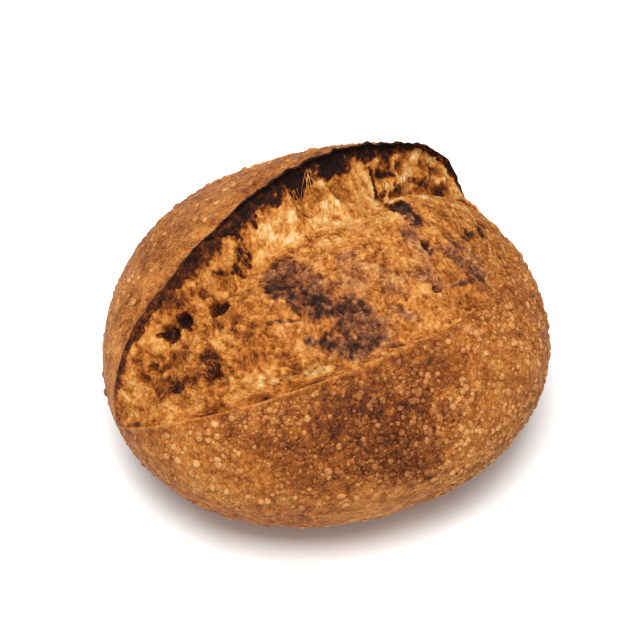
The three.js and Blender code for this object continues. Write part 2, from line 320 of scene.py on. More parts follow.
def bloomRelief(place):  # the ear's hollow inner face, the valley at its foot, the swollen crumb, the crease
    front, past, alpha, share = place["front"], place["past"], place["alpha"], place["share"]
    right = smooth((bloom["rightFrom"]-alpha)/bloom["rightOver"])
    faceWidth = mix(ear["faceWidth"], ear["rightFaceWidth"], right)
    valleyWidth = mix(bloom["valleyWidth"], bloom["rightValleyWidth"], right)
    face = np.maximum(np.minimum(faceWidth, place["width"]*0.4), 1e-6)
    down = np.clip(front/face, 0, 1)
    size = np.clip(place["width"]/60, 0, 1)
    deep = smooth((alpha-bloom["shallowFrom"])/bloom["shallowOver"])
    valley = bloom["valleyDepth"]*size*deep
    sink = mix(bloom["sink"], bloom["rightSink"], right)*size*mix(bloom["endSink"], 1, deep)
    floor = mix(valley, sink, smooth((front-face)/valleyWidth))
    rise = (place["edgeHeight"]*(1-smooth(down))-floor*smooth(down))*(1-smooth(1-past/bloom["riseWidth"]))
    groove = (past-bloom["grooveWidth"])/bloom["grooveWidth"]*bloom["grooveSharpness"]
    depth = bloom["grooveDepth"]*place["endFade"]+bloom["peelDepth"]*place["peel"]
    rise = rise-depth*size*np.exp(-groove**2)
    rise = rise+place["lip"]*np.exp(-(past/bloom["lipWidth"])**2)
    inner = smooth(np.minimum(front, past)/7)
    rise = rise+inner*bloom["lump"]*noise(place["p"], bloom["lumpSize"], 4)
    rise = rise+inner*bloom["crag"]*noise(place["p"], bloom["cragSize"], 5)
    edge = front/ear["beadWidth"]
    furrow = ear["beadGroove"]*edge**2*np.exp(1-edge**2)*smooth(past/20)/2
    rise = rise+place["bead"]*(np.exp(-edge**2)-furrow)
    rise = rise+place["char"]*np.exp(-(front/ear["charWidth"])**2)*smooth(past/12)
    rise = rise+place["wavy"]-hollowDepth(place)
    under = ear["undercut"]*share*np.sin(np.pi*down**0.6)*np.sqrt(1-down)
    return rise, place["edgeForward"]*(1-down)**2-under


def skin(d, isBloom, sunk=0.0):  # places on the finished surface, or on a hidden one sunk under it
    p = bodyPoint(d)
    n = bodyNormal(p, d)
    place = placeOf(d, p)
    rise, forward = (bloomRelief if isBloom else crustRelief)(place)
    if sunk:
        front = place["front"]
        inner = smooth(np.minimum(front, place["past"])/underside["sinkOver"])
        back = underside["backSlope"]*np.maximum(front-underside["backFrom"], 0)
        back = np.minimum(underside["back"]*sunk, back)
        back = back*smooth((underside["backTo"]-front)/underside["backOver"])
        rise, forward = rise-sunk*inner, forward-back*place["share"]
    toFront = unit(np.stack([n[..., 0]*n[..., 1], n[..., 1]**2-1, n[..., 1]*n[..., 2]], -1))
    return p+n*rise[..., None]+toFront*forward[..., None], place


def between(a, b, t):  # directions a share t of the way from a to b
    angle = np.arccos(np.clip((a*b).sum(-1), -1, 1))[..., None]
    t = np.asarray(t)[..., None]
    turned = (a*np.sin((1-t)*angle)+b*np.sin(t*angle))/np.maximum(np.sin(angle), 1e-6)
    return unit(np.where(angle < 1e-3, a+(b-a)*t, turned))


def scoreAlpha(u):  # share of the way along the score, from its left end to its right end
    eased = 0.35*(0.5-0.5*np.cos(np.pi*u))+0.65*u
    return score["leftEnd"]+(score["rightEnd"]-score["leftEnd"])*eased


def edgeDirections(alpha):
    earSide, creaseSide = scoreSides(alpha)
    return direction(alpha, earSide), direction(alpha, creaseSide)


def evenSteps(points, count):  # shares of the way at which a path is cut into even steps
    steps = np.linalg.norm(np.diff(points, axis=0), axis=-1)+1e-6
    far = np.concatenate([[0], np.cumsum(steps)])
    return np.interp(np.linspace(0, far[-1], count+1), far, np.linspace(0, 1, len(points)))


def gridNormals(points, wrap=False):
    if wrap:
        along = np.roll(points, -1, 1)-np.roll(points, 1, 1)
    else:
        along = np.gradient(points, axis=1)
    return unit(np.cross(np.gradient(points, axis=0), along))


def makePiece(name, points, faces, material, attributes=None):
    mesh = bpy.data.meshes.new(name)
    metres = (np.asarray(points)+np.array(loaf["centreShift"]))/1000
    mesh.from_pydata(metres.tolist(), [], faces)
    mesh.validate()
    for key, values in (attributes or {}).items():
        layer = mesh.attributes.new(key, "FLOAT", "POINT")
        layer.data.foreach_set("value", np.asarray(values, dtype=np.float32))
    mesh.shade_smooth()
    mesh.materials.append(material)
    piece = bpy.data.objects.new(name, mesh)
    bpy.context.collection.objects.link(piece)
    return piece


def outwardFaces(points, faces):  # turned over together if the closed shell they make is inside out
    points = np.asarray(points)
    volume = 0.0
    for quad in (np.array([f for f in faces if len(f) == 4]), np.array([f for f in faces if len(f) == 3])):
        for k in range(1, (quad.shape[1] if len(quad) else 0)-1):
            a, b, c = points[quad[:, 0]], points[quad[:, k]], points[quad[:, k+1]]
            volume += (a*np.cross(b, c)).sum()
    return faces if volume > 0 else [f[::-1] for f in faces]


# Browning runs from 0, pale crumb, over 0.4, golden, and 0.7, deep brown, to 1, black.
shades = {"cream": 0.08, "pale": 0.24, "light": 0.34, "golden": 0.44, "tan": 0.54,
          "brown": 0.66, "darkBrown": 0.78, "burnt": 0.90, "black": 0.98}


def patch(name, kind, start, end, radius, shade):
    return {"name": name, "kind": kind, "ends": (start, end), "radius": radius, "level": shades[shade]}


# each patch is a band on the bloom from one place to another, with its half width in millimetres and its
# shade
patches = [
    patch("golden top", "golden", (83.5, 8.5), (68.5, 4), 7.5, "light"),
    patch("golden middle", "golden", (90, 2), (84.5, 0.5), 6, "light"),
    patch("golden strip", "golden", (99.5, 12), (92, 6), 4.5, "golden"),
    patch("golden slope", "golden", (106.5, 4), (109, -6.5), 6.5, "golden"),
    patch("golden gap", "golden", (112.5, 12.5), (110, 9.5), 4.5, "tan"),
    patch("golden left", "golden", (134.5, 8), (131, 5.5), 4.5, "golden"),
    patch("golden left foot", "golden", (156, -6), (147.5, -13.5), 6, "golden"),
    patch("golden right rim", "golden", (54.5, 9.5), (36, 4), 4.5, "pale"),
    patch("golden low right", "golden", (86.5, -29), (72.5, -30.5), 6, "golden"),
    patch("golden groove's side", "golden", (148.5, -16), (128.5, -29), 3.5, "golden"),
    patch("golden flank", "golden", (121.5, -14.5), (111.5, -21), 5, "golden"),
    patch("field's top", "brown", (99, 2), (96, -6.5), 6.5, "brown"),
    patch("burnt field's surround", "brown", (101.5, -1.5), (92.5, -27), 14, "brown"),
    patch("burnt field", "brown", (103, -4.5), (94.5, -22), 10, "darkBrown"),
    patch("field's foot", "brown", (102.5, -23.5), (96.5, -31), 7, "darkBrown"),
    patch("middle field", "brown", (87.5, -6.5), (80.5, -16.5), 10, "tan"),
    patch("middle slope", "brown", (88, -5), (87, -14), 7, "tan"),
    patch("field by the spot", "brown", (67.5, -3.5), (69, -12.5), 6.5, "tan"),
    patch("right field", "brown", (57.5, -11.5), (56, -21), 10, "brown"),
    patch("right field's side", "brown", (72.5, -15), (68.5, -21), 6, "tan"),
    patch("right field's foot", "brown", (83, -23), (80, -27.5), 4.5, "tan"),
    patch("left slope", "brown", (121, -3.5), (117.5, -11.5), 6, "tan"),
    patch("left slope's foot", "brown", (128, -7.5), (122, -12.5), 4.5, "golden"),
    patch("left ridge", "brown", (144.5, -12), (132.5, -15.5), 5, "darkBrown"),
    patch("left ridge's top", "brown", (130.5, -10.5), (127.5, -17), 4, "brown"),
    patch("pocket's side", "brown", (139, -1), (132.5, -11), 2, "tan"),
    patch("line under the slope", "burnt", (111, -12), (104.5, -15), 1.5, "burnt"),
    patch("brown line by the crease", "burnt", (90.5, -33), (79.5, -37.5), 1.5, "brown"),
    patch("black spot's tip", "burnt", (64.5, 9), (65.5, 5.5), 3.5, "black"),
    patch("black spot", "burnt", (63.5, 5.5), (63.5, 0), 6, "black"),
    patch("dot under the spot", "burnt", (65.5, -7), (66.5, -9), 1.5, "burnt"),
    patch("hook under the spot", "burnt", (66, -10.5), (61.5, -9), 1.5, "darkBrown"),
    # painted shade: the right holes are painted dark inside
    patch("right hole", "burnt", (49.5, -8), (45, -5.5), 2.5, "burnt"),
    patch("second right hole", "burnt", (41.5, -5), (41.5, -6.5), 2.5, "black"),
    patch("right char", "burnt", (58, -16), (53.5, -21.5), 4, "brown"),
    patch("right char's foot", "burnt", (65.5, -22), (59, -22.5), 2.5, "brown"),
    patch("char's top", "burnt", (99.5, 3.5), (96.5, -1), 3, "brown"),
    patch("char's left", "burnt", (105.5, -3), (102, -6.5), 4, "black"),
    patch("char's middle", "burnt", (99.5, -7.5), (98.5, -10.5), 4, "brown"),
    patch("char's black heart", "burnt", (98, -12.5), (98.5, -17), 4, "black"),
    patch("char's right", "burnt", (94, -16.5), (89.5, -21.5), 4.5, "darkBrown"),
    patch("char's right edge", "burnt", (93, -24), (90, -24.5), 4, "darkBrown"),
    patch("char's low middle", "burnt", (97.5, -22), (97, -26), 4, "darkBrown"),
    patch("char's low left", "burnt", (106, -21.5), (103, -26), 3.5, "darkBrown"),
    patch("char's foot", "burnt", (100.5, -32), (93, -31.5), 3, "darkBrown"),
    patch("clump under the rim", "burnt", (111, 15), (106, 13), 3.5, "black"),
    patch("hanging clump", "burnt", (105.5, 11), (106.5, 7.5), 4.5, "black"),
    patch("hanging clump's foot", "burnt", (109, 8), (108.5, 5), 2.5, "burnt"),
    patch("wedge pocket", "burnt", (120.5, 7), (117, 2), 4, "brown"),
    patch("wedge pocket's tip", "burnt", (121, 8.5), (120.5, 7.5), 2, "tan"),
    patch("pocket's shadow", "burnt", (115, 9), (109.5, 7), 2.5, "darkBrown"),
    # painted shade: the round and long bubbles are painted black inside
    patch("round bubble", "burnt", (130.5, 5), (129.5, 1), 1.5, "black"),
    patch("long bubble", "burnt", (139.5, 4.5), (137, 4.5), 1.5, "black"),
    patch("long bubble's end", "burnt", (135, 4), (133.5, 3), 1, "burnt"),
    patch("left bubble", "burnt", (156, 0.5), (155.5, 0), 2, "tan"),
    patch("upper left bubble", "burnt", (150, 1), (149, 0), 2, "brown"),
    patch("left end spot", "burnt", (168, -8.5), (166.5, -10), 1.5, "darkBrown"),
    # painted shade: the cave under the ear's overhang is painted black
    patch("dark cave", "burnt", (80, 16.5), (72, 17), 3.5, "black"),
    patch("low cave", "burnt", (83.5, 15.5), (82, 14.5), 2, "golden"),
    patch("curtain", "burnt", (64.5, 17.5), (65, 14.5), 2, "burnt"),
    patch("curtain's end", "burnt", (61.5, 15.5), (66, 10), 1.5, "darkBrown"),
    patch("curtain's right", "burnt", (56, 17.5), (56, 16), 1.5, "burnt"),
    # painted shade: the cave under the ear's overhang at its right is painted dark brown
    patch("cave at the ear's right", "burnt", (48.5, 17.5), (44, 17), 2, "darkBrown"),
    patch("cave at the ear's end", "burnt", (37, 18), (33, 18), 1.5, "golden"),
    patch("dot on the flank", "burnt", (122.5, -11.5), (121.5, -13.5), 1.5, "brown"),
    patch("dot by the stripe", "burnt", (71.5, -21), (70.5, -21.5), 1, "burnt"),
    patch("pale crumb's left", "pale", (91, 13.5), (85.5, 14.5), 3, "tan"),
    patch("pale crumb", "pale", (84.5, 14.5), (73.5, 15), 7, "light"),
    patch("pale crumb's right", "pale", (74, 13.5), (68, 15), 4, "light"),
    patch("pale crumb's foot", "pale", (83.5, 12), (77, 12), 4, "light"),
    patch("pale fork", "pale", (96.5, 11), (88, 10.5), 2.5, "golden"),
    patch("pale foot", "pale", (100.5, 8.5), (97, 9), 3, "light"),
    patch("pale window", "pale", (117.5, 8.5), (112, 6), 3.5, "light"),
    patch("pale window's foot", "pale", (117, 7), (115, 5.5), 2, "pale"),
    patch("pale pocket", "pale", (142, 2.5), (135.5, -1.5), 2.5, "pale"),
    patch("pale left strip", "pale", (148, -4), (141.5, -6.5), 3, "pale"),
    patch("pale left end", "pale", (162, 2.5), (155, 2), 2.5, "golden"),
    patch("pale left tip", "pale", (166.5, -0.5), (168, -7), 3.5, "pale"),
    patch("pale groove", "pale", (124, -25), (112.5, -30), 4, "cream"),
    patch("pale groove's right", "pale", (113, -29.5), (107, -31.5), 3, "cream"),
    patch("line under the peeled lip", "burnt", (121, -31.5), (110, -34), 1, "darkBrown"),
    patch("pale groove's left", "pale", (136, -17), (131.5, -19), 2, "tan"),
    patch("pale stripe", "pale", (78, -18.5), (76, -26), 2.5, "golden"),
    patch("pale end of the ear", "pale", (42, 16.5), (31, 17), 2.5, "cream"),
    patch("pale patch by the line", "pale", (92, -35), (90, -38), 2, "cream"),
]


def skinPoint(at):
    return skin(direction(np.array([at[0]]), np.array([at[1]])), True)[0][0]


softness = {"golden": 0.9, "brown": 0.6, "burnt": 0.45, "pale": 1.1}  # how widely each kind's edge fades


def patchMasks(surface):  # surface: places on the bloom before its fine relief
    ragged = 0.36*noise(surface, 8.0, 70)+0.28*noise(surface, 3.4, 71)+0.20*noise(surface, 1.5, 72)
    masks = []
    for area in patches:
        start, end = (skinPoint(at) for at in area["ends"])
        run = end-start
        share = np.clip(((surface-start)@run)/max(run@run, 1e-9), 0, 1)
        away = np.linalg.norm(surface-start-share[..., None]*run, axis=-1)/area["radius"]
        masks.append(smooth((1-away+ragged)/softness[area["kind"]]))
    return masks


def kindMask(masks, kind):
    return np.max([mask for mask, area in zip(masks, patches) if area["kind"] == kind], axis=0)


toastColours = [  # browning and the colour there, linear
    (0.00, (0.62, 0.46, 0.26)), (0.14, (0.58, 0.36, 0.14)), (0.28, (0.53, 0.250, 0.062)),
    (0.42, (0.43, 0.152, 0.028)), (0.56, (0.27, 0.078, 0.0105)), (0.70, (0.130, 0.031, 0.0050)),
    (0.84, (0.042, 0.010, 0.0035)), (1.00, (0.008, 0.0045, 0.0035)),
]


def newGroup(name, inputs, outputs):
    group = bpy.data.node_groups.new(name, "ShaderNodeTree")
    for socketName, kind, value in inputs:
        socket = group.interface.new_socket(name=socketName, in_out="INPUT", socket_type=kind)
        if value is not None:
            socket.default_value = value
    for socketName, kind in outputs:
        group.interface.new_socket(name=socketName, in_out="OUTPUT", socket_type=kind)
    return group, group.nodes.new("NodeGroupInput"), group.nodes.new("NodeGroupOutput")


def mathNode(tree, operation, a, b=None, clamp=False):
    node = tree.nodes.new("ShaderNodeMath")
    node.operation = operation
    node.use_clamp = clamp
    for socket, value in zip(node.inputs, (a, b)):
        if value is None:
            continue
        if isinstance(value, (int, float)):
            socket.default_value = value
        else:
            tree.links.new(value, socket)
    return node.outputs[0]


def rangeNode(tree, value, fromLow, fromHigh, toLow, toHigh):
    node = tree.nodes.new("ShaderNodeMapRange")
    node.interpolation_type = "SMOOTHSTEP"
    tree.links.new(value, node.inputs["Value"])
    limits = {"From Min": fromLow, "From Max": fromHigh, "To Min": toLow, "To Max": toHigh}
    for key, number in limits.items():
        node.inputs[key].default_value = number
    return node.outputs["Result"]


def noiseNode(tree, vector, size, detail=3.0, roughness=0.55, distortion=0.0):
    node = tree.nodes.new("ShaderNodeTexNoise")
    tree.links.new(vector, node.inputs["Vector"])
    node.inputs["Scale"].default_value = 1/size
    node.inputs["Detail"].default_value = detail
    node.inputs["Roughness"].default_value = roughness
    node.inputs["Distortion"].default_value = distortion
    return node.outputs["Fac"]


ashColours = [  # the same where the crumb is charred or the crust is floury
    (0.00, (0.62, 0.46, 0.28)), (0.28, (0.50, 0.270, 0.120)), (0.50, (0.30, 0.135, 0.070)),
    (0.66, (0.170, 0.070, 0.040)), (0.84, (0.062, 0.030, 0.020)), (1.00, (0.017, 0.012, 0.011)),
]


def toastGroup():  # browning to colour, with a share of ash
    group, source, target = newGroup(
        "toast",
        [("Browning", "NodeSocketFloat", 0.5), ("Ash", "NodeSocketFloat", 0.0)],
        [("Colour", "NodeSocketColor")],
    )
    blend = group.nodes.new("ShaderNodeMix")
    blend.data_type = "RGBA"
    blendSockets = [socket for socket in blend.inputs if socket.type == "RGBA"]
    for colours, into in zip((toastColours, ashColours), blendSockets):
        ramp = group.nodes.new("ShaderNodeValToRGB")
        elements = ramp.color_ramp.elements
        while len(elements) < len(colours):
            elements.new(0.5)
        for element, (position, colour) in zip(elements, colours):
            element.position = position
            element.color = (*colour, 1)
        group.links.new(source.outputs["Browning"], ramp.inputs["Fac"])
        group.links.new(ramp.outputs["Color"], into)
    group.links.new(source.outputs["Ash"], blend.inputs[0])
    mixed = [socket for socket in blend.outputs if socket.type == "RGBA"][0]
    group.links.new(mixed, target.inputs["Colour"])
    return group


grainLook = {"coarseSize": 1.7, "coarseShare": 0.6, "fineSize": 0.55, "fineShare": 0.4}


def grainGroup():  # floury speckle and fine pores, in millimetres
    group, source, target = newGroup(
        "grain",
        [("Position", "NodeSocketVector", None), ("Speckle", "NodeSocketFloat", 0.1)],
        [("Height", "NodeSocketFloat"), ("Shade", "NodeSocketFloat")],
    )
    coarse = noiseNode(group, source.outputs["Position"], grainLook["coarseSize"], 4.0, 0.6)
    coarse = mathNode(group, "MULTIPLY", coarse, grainLook["coarseShare"])
    fine = noiseNode(group, source.outputs["Position"], grainLook["fineSize"], 3.0, 0.6)
    fine = mathNode(group, "MULTIPLY", fine, grainLook["fineShare"])
    both = mathNode(group, "ADD", coarse, fine)
    group.links.new(both, target.inputs["Height"])
    centred = mathNode(group, "SUBTRACT", both, 0.5)
    shade = mathNode(group, "MULTIPLY", centred, source.outputs["Speckle"])
    group.links.new(shade, target.inputs["Shade"])
    return group


bakedSheen = 0.07


def startMaterial(name):  # with the place on the piece in millimetres
    material = bpy.data.materials.new(name)
    material.use_nodes = True
    tree = material.node_tree
    shader = tree.nodes["Principled BSDF"]
    shader.inputs["Specular IOR Level"].default_value = bakedSheen
    coordinates = tree.nodes.new("ShaderNodeTexCoord")
    scale = tree.nodes.new("ShaderNodeVectorMath")
    scale.operation = "SCALE"
    scale.inputs["Scale"].default_value = 1000  # metres to millimetres
    tree.links.new(coordinates.outputs["Object"], scale.inputs[0])
    return material, tree, shader, scale.outputs[0]


def placeGroup(tree, group, **values):
    node = tree.nodes.new("ShaderNodeGroup")
    node.node_tree = group
    for key, value in values.items():
        socket = node.inputs[key]
        if isinstance(value, (int, float)):
            socket.default_value = value
        else:
            tree.links.new(value, socket)
    return node


def attributeOf(tree, name):
    node = tree.nodes.new("ShaderNodeAttribute")
    node.attribute_name = name
    return node.outputs["Fac"]


def bumpNode(tree, height, distance, strength=1.0):
    node = tree.nodes.new("ShaderNodeBump")
    node.inputs["Distance"].default_value = distance/1000
    node.inputs["Strength"].default_value = strength
    tree.links.new(height, node.inputs["Height"])
    return node.outputs["Normal"]


toast, grain = toastGroup(), grainGroup()

crustLook = {"speckle": 1.0, "dust": 0.04, "domeDust": 1.7, "dotSize": 1.5, "dotLift": 0.20,
             "dotBump": 0.8, "wobbleSize": 6.0, "dotReach": (0.1, 0.42), "roughness": (0.42, 0.70),
             "bump": 0.8}


def makeCrustMaterial():
    material, tree, shader, position = startMaterial("crust")
    browning = attributeOf(tree, "browning")
    speckle = placeGroup(tree, grain, Position=position, Speckle=crustLook["speckle"])
    cells = tree.nodes.new("ShaderNodeTexVoronoi")
    cells.inputs["Scale"].default_value = 1/crustLook["dotSize"]
    tree.links.new(position, cells.inputs["Vector"])
    wobble = noiseNode(tree, position, crustLook["wobbleSize"], 2.0)
    reach = rangeNode(tree, wobble, 0.35, 0.65, *crustLook["dotReach"])
    away = mathNode(tree, "DIVIDE", cells.outputs["Distance"], reach)
    dot = mathNode(tree, "SUBTRACT", 1.0, away, clamp=True)
    dot = rangeNode(tree, dot, 0.0, 0.6, 0.0, 1.0)
    dot = mathNode(tree, "MULTIPLY", dot, attributeOf(tree, "dots"))
    level = mathNode(tree, "ADD", browning, speckle.outputs["Shade"])
    level = mathNode(tree, "SUBTRACT", level, mathNode(tree, "MULTIPLY", dot, crustLook["dotLift"]))
    # paler over each blister's top, with painted shade in a dark ring at its foot
    paleDomeShadedFoot = mathNode(tree, "MULTIPLY", attributeOf(tree, "paleDomeShadedFoot"), attributeOf(tree, "paleness"))
    level = mathNode(tree, "SUBTRACT", level, paleDomeShadedFoot, clamp=True)
    dust = mathNode(tree, "MULTIPLY", paleDomeShadedFoot, crustLook["domeDust"])
    dust = mathNode(tree, "ADD", dust, crustLook["dust"], clamp=True)
    colour = placeGroup(tree, toast, Browning=level, Ash=dust)
    tree.links.new(colour.outputs["Colour"], shader.inputs["Base Color"])
    rough = rangeNode(tree, speckle.outputs["Height"], 0.3, 0.7, *crustLook["roughness"])
    tree.links.new(rough, shader.inputs["Roughness"])
    height = mathNode(tree, "MULTIPLY", dot, crustLook["dotBump"])
    height = mathNode(tree, "ADD", height, speckle.outputs["Height"])
    tree.links.new(bumpNode(tree, height, crustLook["bump"]), shader.inputs["Normal"])
    return material


crumbLook = {"speckle": 0.75, "streak": 0.62, "streakSize": 1.1, "stretch": 0.55, "roughness": (0.5, 0.85),
             "bump": 0.9}


def makeCrumbMaterial():
    material, tree, shader, position = startMaterial("crumb")
    browning = attributeOf(tree, "browning")
    speckle = placeGroup(tree, grain, Position=position, Speckle=crumbLook["speckle"])
    tear = tree.nodes.new("ShaderNodeAttribute")  # runs across the score, the way the dough tore
    tear.attribute_name = "tear"
    stretch = tree.nodes.new("ShaderNodeMapping")
    stretch.inputs["Scale"].default_value = (1.0, crumbLook["stretch"], 1.0)
    tree.links.new(tear.outputs["Vector"], stretch.inputs["Vector"])
    streak = noiseNode(tree, stretch.outputs["Vector"], crumbLook["streakSize"], 4.0, 0.7)
    streakShade = mathNode(tree, "MULTIPLY", mathNode(tree, "SUBTRACT", streak, 0.5), crumbLook["streak"])
    level = mathNode(tree, "ADD", browning, speckle.outputs["Shade"])
    level = mathNode(tree, "ADD", level, streakShade, clamp=True)
    colour = placeGroup(tree, toast, Browning=level, Ash=attributeOf(tree, "ash"))
    tree.links.new(colour.outputs["Colour"], shader.inputs["Base Color"])
    rough = rangeNode(tree, speckle.outputs["Height"], 0.3, 0.7, *crumbLook["roughness"])
    tree.links.new(rough, shader.inputs["Roughness"])
    height = mathNode(tree, "SUBTRACT", speckle.outputs["Height"], streak)
    tree.links.new(bumpNode(tree, height, crumbLook["bump"]), shader.inputs["Normal"])
    return material


crustMaterial, crumbMaterial = makeCrustMaterial(), makeCrumbMaterial()

crust = {"columns": 560, "rows": 160, "underRows": 34, "underDepth": 6.0, "underEase": 2.2,
         "fine": 0.28, "fineSize": 3.6, "dots": (0.25, 0.75), "backDots": 0.8}
# the front, foot, left and right shifts below are partly the crust's own browning and partly painted shade
# and light
crustTone = {"ground": 0.60, "broad": 0.12, "broadSize": 30.0, "middle": 0.09, "middleSize": 4.0,
             "small": 0.10, "smallSize": 2.0, "backPaler": 0.09, "backUneven": 0.08, "frontDarkerAndShaded": 0.14,
             "footPalerAndBounceLit": 0.04, "leftPalerAndLit": 0.10, "rightPalerAndLit": 0.07, "lipPaler": 0.14, "glow": 0.02,
             "rim": 0.88, "rimUneven": 0.12, "rimShare": 0.96}


def crustBrowning(place, points):
    p, alpha, beta, onBack = (place[key] for key in ("p", "alpha", "beta", "onBack"))
    tone = crustTone
    level = tone["ground"]+tone["broad"]*layeredNoise(p, tone["broadSize"], 3, 30)
    level = level+tone["middle"]*noise(p, tone["middleSize"], 34)
    level = level+tone["small"]*noise(p, tone["smallSize"], 33)
    level = level-tone["backPaler"]*onBack
    # partly the crust's own browning, partly painted shade and light: the front's middle darker as painted
    # shade, its foot paler as painted bounce light, its left side paler as painted light
    frontMiddleBakeAndShade = np.exp(-(((alpha-112)/30)**2))*smooth((-beta-25)/25)
    level = level+tone["frontDarkerAndShaded"]*frontMiddleBakeAndShade-tone["footPalerAndBounceLit"]*smooth(1-points[..., 2]/34)
    level = level-tone["leftPalerAndLit"]*smooth((alpha-135)/40)*smooth(-beta/20)
    behind = np.maximum(-place["front"], 0)+place["beyondEnd"]  # the ear's burnt rim and a glow behind it
    reach = 0.7+0.9*smooth((150-alpha)/30)+0.9*smooth((80-alpha)/20)
    reach = reach*(1+0.25*noise(p, 5.0, 36)+0.15*noise(p, 1.8, 38))
    rim = onBack*smooth(reach-behind+0.5)*smooth((178-alpha)/20)*smooth((alpha-8)/15)
    glow = onBack*np.exp(-(behind/4)**2)*smooth((170-alpha)/30)
    burnt = tone["rim"]+tone["rimUneven"]*noise(p, 2.2, 37)
    level = mix(level+tone["glow"]*glow, burnt, tone["rimShare"]*rim)
    ahead = np.maximum(-place["past"], 0)+place["beyondEnd"]
    lipGlow = (~onBack)*np.exp(-(ahead/1.4)**2)
    level = level-tone["lipPaler"]*lipGlow*smooth((alpha-60)/60)
    # partly the crust's own tone, partly painted light: the front crust paler towards the right end
    level = level-tone["rightPalerAndLit"]*smooth((80-alpha)/40)*smooth(-place["past"]/10)
    level = level+tone["backUneven"]*onBack*layeredNoise(p, 9.0, 3, 98)
    return np.clip(level, 0.05, 0.97)


def blisterShare(place, points):  # how thickly the blisters stand on the crust
    back = smooth((place["beta"]-5)/10)
    high = smooth(points[..., 2]/26)
    cluster = smooth(0.62+1.2*layeredNoise(place["p"], 20.0, 3, 40))
    left = 1-0.75*smooth((place["alpha"]-140)/25)
    nearCrease = smooth((-place["past"]-1.5)/2.5)
    nearEar = smooth((-place["front"]-7)/4)
    apart = np.where(place["onBack"], nearEar, nearCrease)
    return np.clip(high*(0.15+0.85*cluster)*left*(1-0.75*back)*apart, 0, 1)


def underTone(way):  # the hidden underside is burnt where it meets the ear's edge
    inner = smooth((way-underside["edgeShare"])/underside["edgeOver"])
    return mix(underside["edgeTone"], underside["innerTone"], inner)


# how finely a first pass measures the skin along and across the score, and how often its rows are evened out
draft = {"along": 1001, "across": 301, "evenings": 12}


def makeCrust():
    half = crust["columns"]//2
    dense = np.linspace(0, 1, draft["along"])
    earDir, creaseDir = edgeDirections(scoreAlpha(dense))
    u = evenSteps((skin(earDir, False)[0]+skin(creaseDir, False)[0])/2, half)
    earDir, creaseDir = edgeDirections(scoreAlpha(u))
    outline = np.concatenate([earDir[:-1], creaseDir[::-1][:-1]])
    phi = np.pi-2*np.pi*np.arange(crust["columns"])/crust["columns"]
    low = -loaf["widestLevel"]/loaf["lowerDepth"]
    r = math.sqrt(1-low*low)
    base = np.stack([r*np.cos(phi), r*np.sin(phi), np.full(crust["columns"], low)], -1)
    t = np.linspace(0, 1, crust["rows"]+1)
    d = between(outline[None], base[None], t[:, None]*np.ones(crust["columns"]))
    points, place = skin(d, False)
    points[-1, :, 2] = 0
    normals = gridNormals(points, wrap=True)
    outward = np.sign((normals*(points-np.array([0, 0, 50]))).sum(-1)).mean()
    normals = normals*np.sign(outward)
    edge = smooth(np.minimum(t, 1-t)/0.02)[:, None]
    fine = crust["fine"]*layeredNoise(place["p"], crust["fineSize"], 2, 50)
    points = points+normals*(fine*edge)[..., None]
    browning = crustBrowning(place, points)
    share = blisterShare(place, points)
    fewest, more = crust["dots"]
    dots = (fewest+more*smooth(points[..., 2]/30))*(1+crust["backDots"]*place["onBack"])
    rowsTotal, n = crust["rows"]+1, crust["columns"]
    index = np.arange(rowsTotal*n).reshape(rowsTotal, n)
    following = np.roll(index, -1, 1)
    faces = np.stack([index[:-1], following[:-1], following[1:], index[1:]], -1).reshape(-1, 4).tolist()
    allPoints = [points.reshape(-1, 3), np.array([[0.0, 0.0, 0.0]])]
    middle = rowsTotal*n
    faces += [[int(index[-1, i]), int(index[-1, (i+1) % n]), middle] for i in range(n)]
    start = middle+1
    values = {"browning": [browning.reshape(-1), [0.5]], "blisters": [share.reshape(-1), [0.0]],
              "dots": [dots.reshape(-1), [0.2]]}
    rows = [[int(index[0, i]) for i in range(half+1)]]
    for k in range(1, crust["underRows"]):
        way = (k/crust["underRows"])**crust["underEase"]
        under, _ = skin(between(earDir, creaseDir, np.full(half+1, way)), True, crust["underDepth"])
        allPoints.append(under[1:-1])
        rows.append([int(index[0, 0])]+list(range(start, start+half-1))+[int(index[0, half])])
        start += half-1
        for key in values:
            values[key].append(np.full(half-1, underTone(way) if key == "browning" else 0.0))
    rows.append([int(index[0, (n-i) % n]) for i in range(half+1)])
    for k in range(crust["underRows"]):
        for i in range(half):
            quad = [rows[k][i+1], rows[k][i], rows[k+1][i], rows[k+1][i+1]]
            faces.append(list(dict.fromkeys(quad)))
    allPoints = np.concatenate(allPoints)
    faces = outwardFaces(allPoints, faces)
    return makePiece("crust", allPoints, faces, crustMaterial,
                     {key: np.concatenate(parts) for key, parts in values.items()})


crustPiece = makeCrust()
print("crust made", len(crustPiece.data.polygons), "faces")

largeBlister = {"spacing": 0.0017, "perSquareMetre": 260000.0, "smallest": 0.0008, "largest": 0.0023,
                "rareness": 1.5, "flatness": 0.50, "paleLow": 0.03, "paleHigh": 0.22, "seed": 4,
                "profile": ((0.42, 0.90), (0.78, 0.48), (1.06, -0.25)), "sides": 7}
smallBlister = {"spacing": 0.0011, "perSquareMetre": 260000.0, "smallest": 0.0003, "largest": 0.0008,
                "rareness": 1.2, "flatness": 0.55, "paleLow": 0.03, "paleHigh": 0.22, "seed": 9,
                "profile": ((0.6, 0.72), (1.08, -0.25)), "sides": 6}


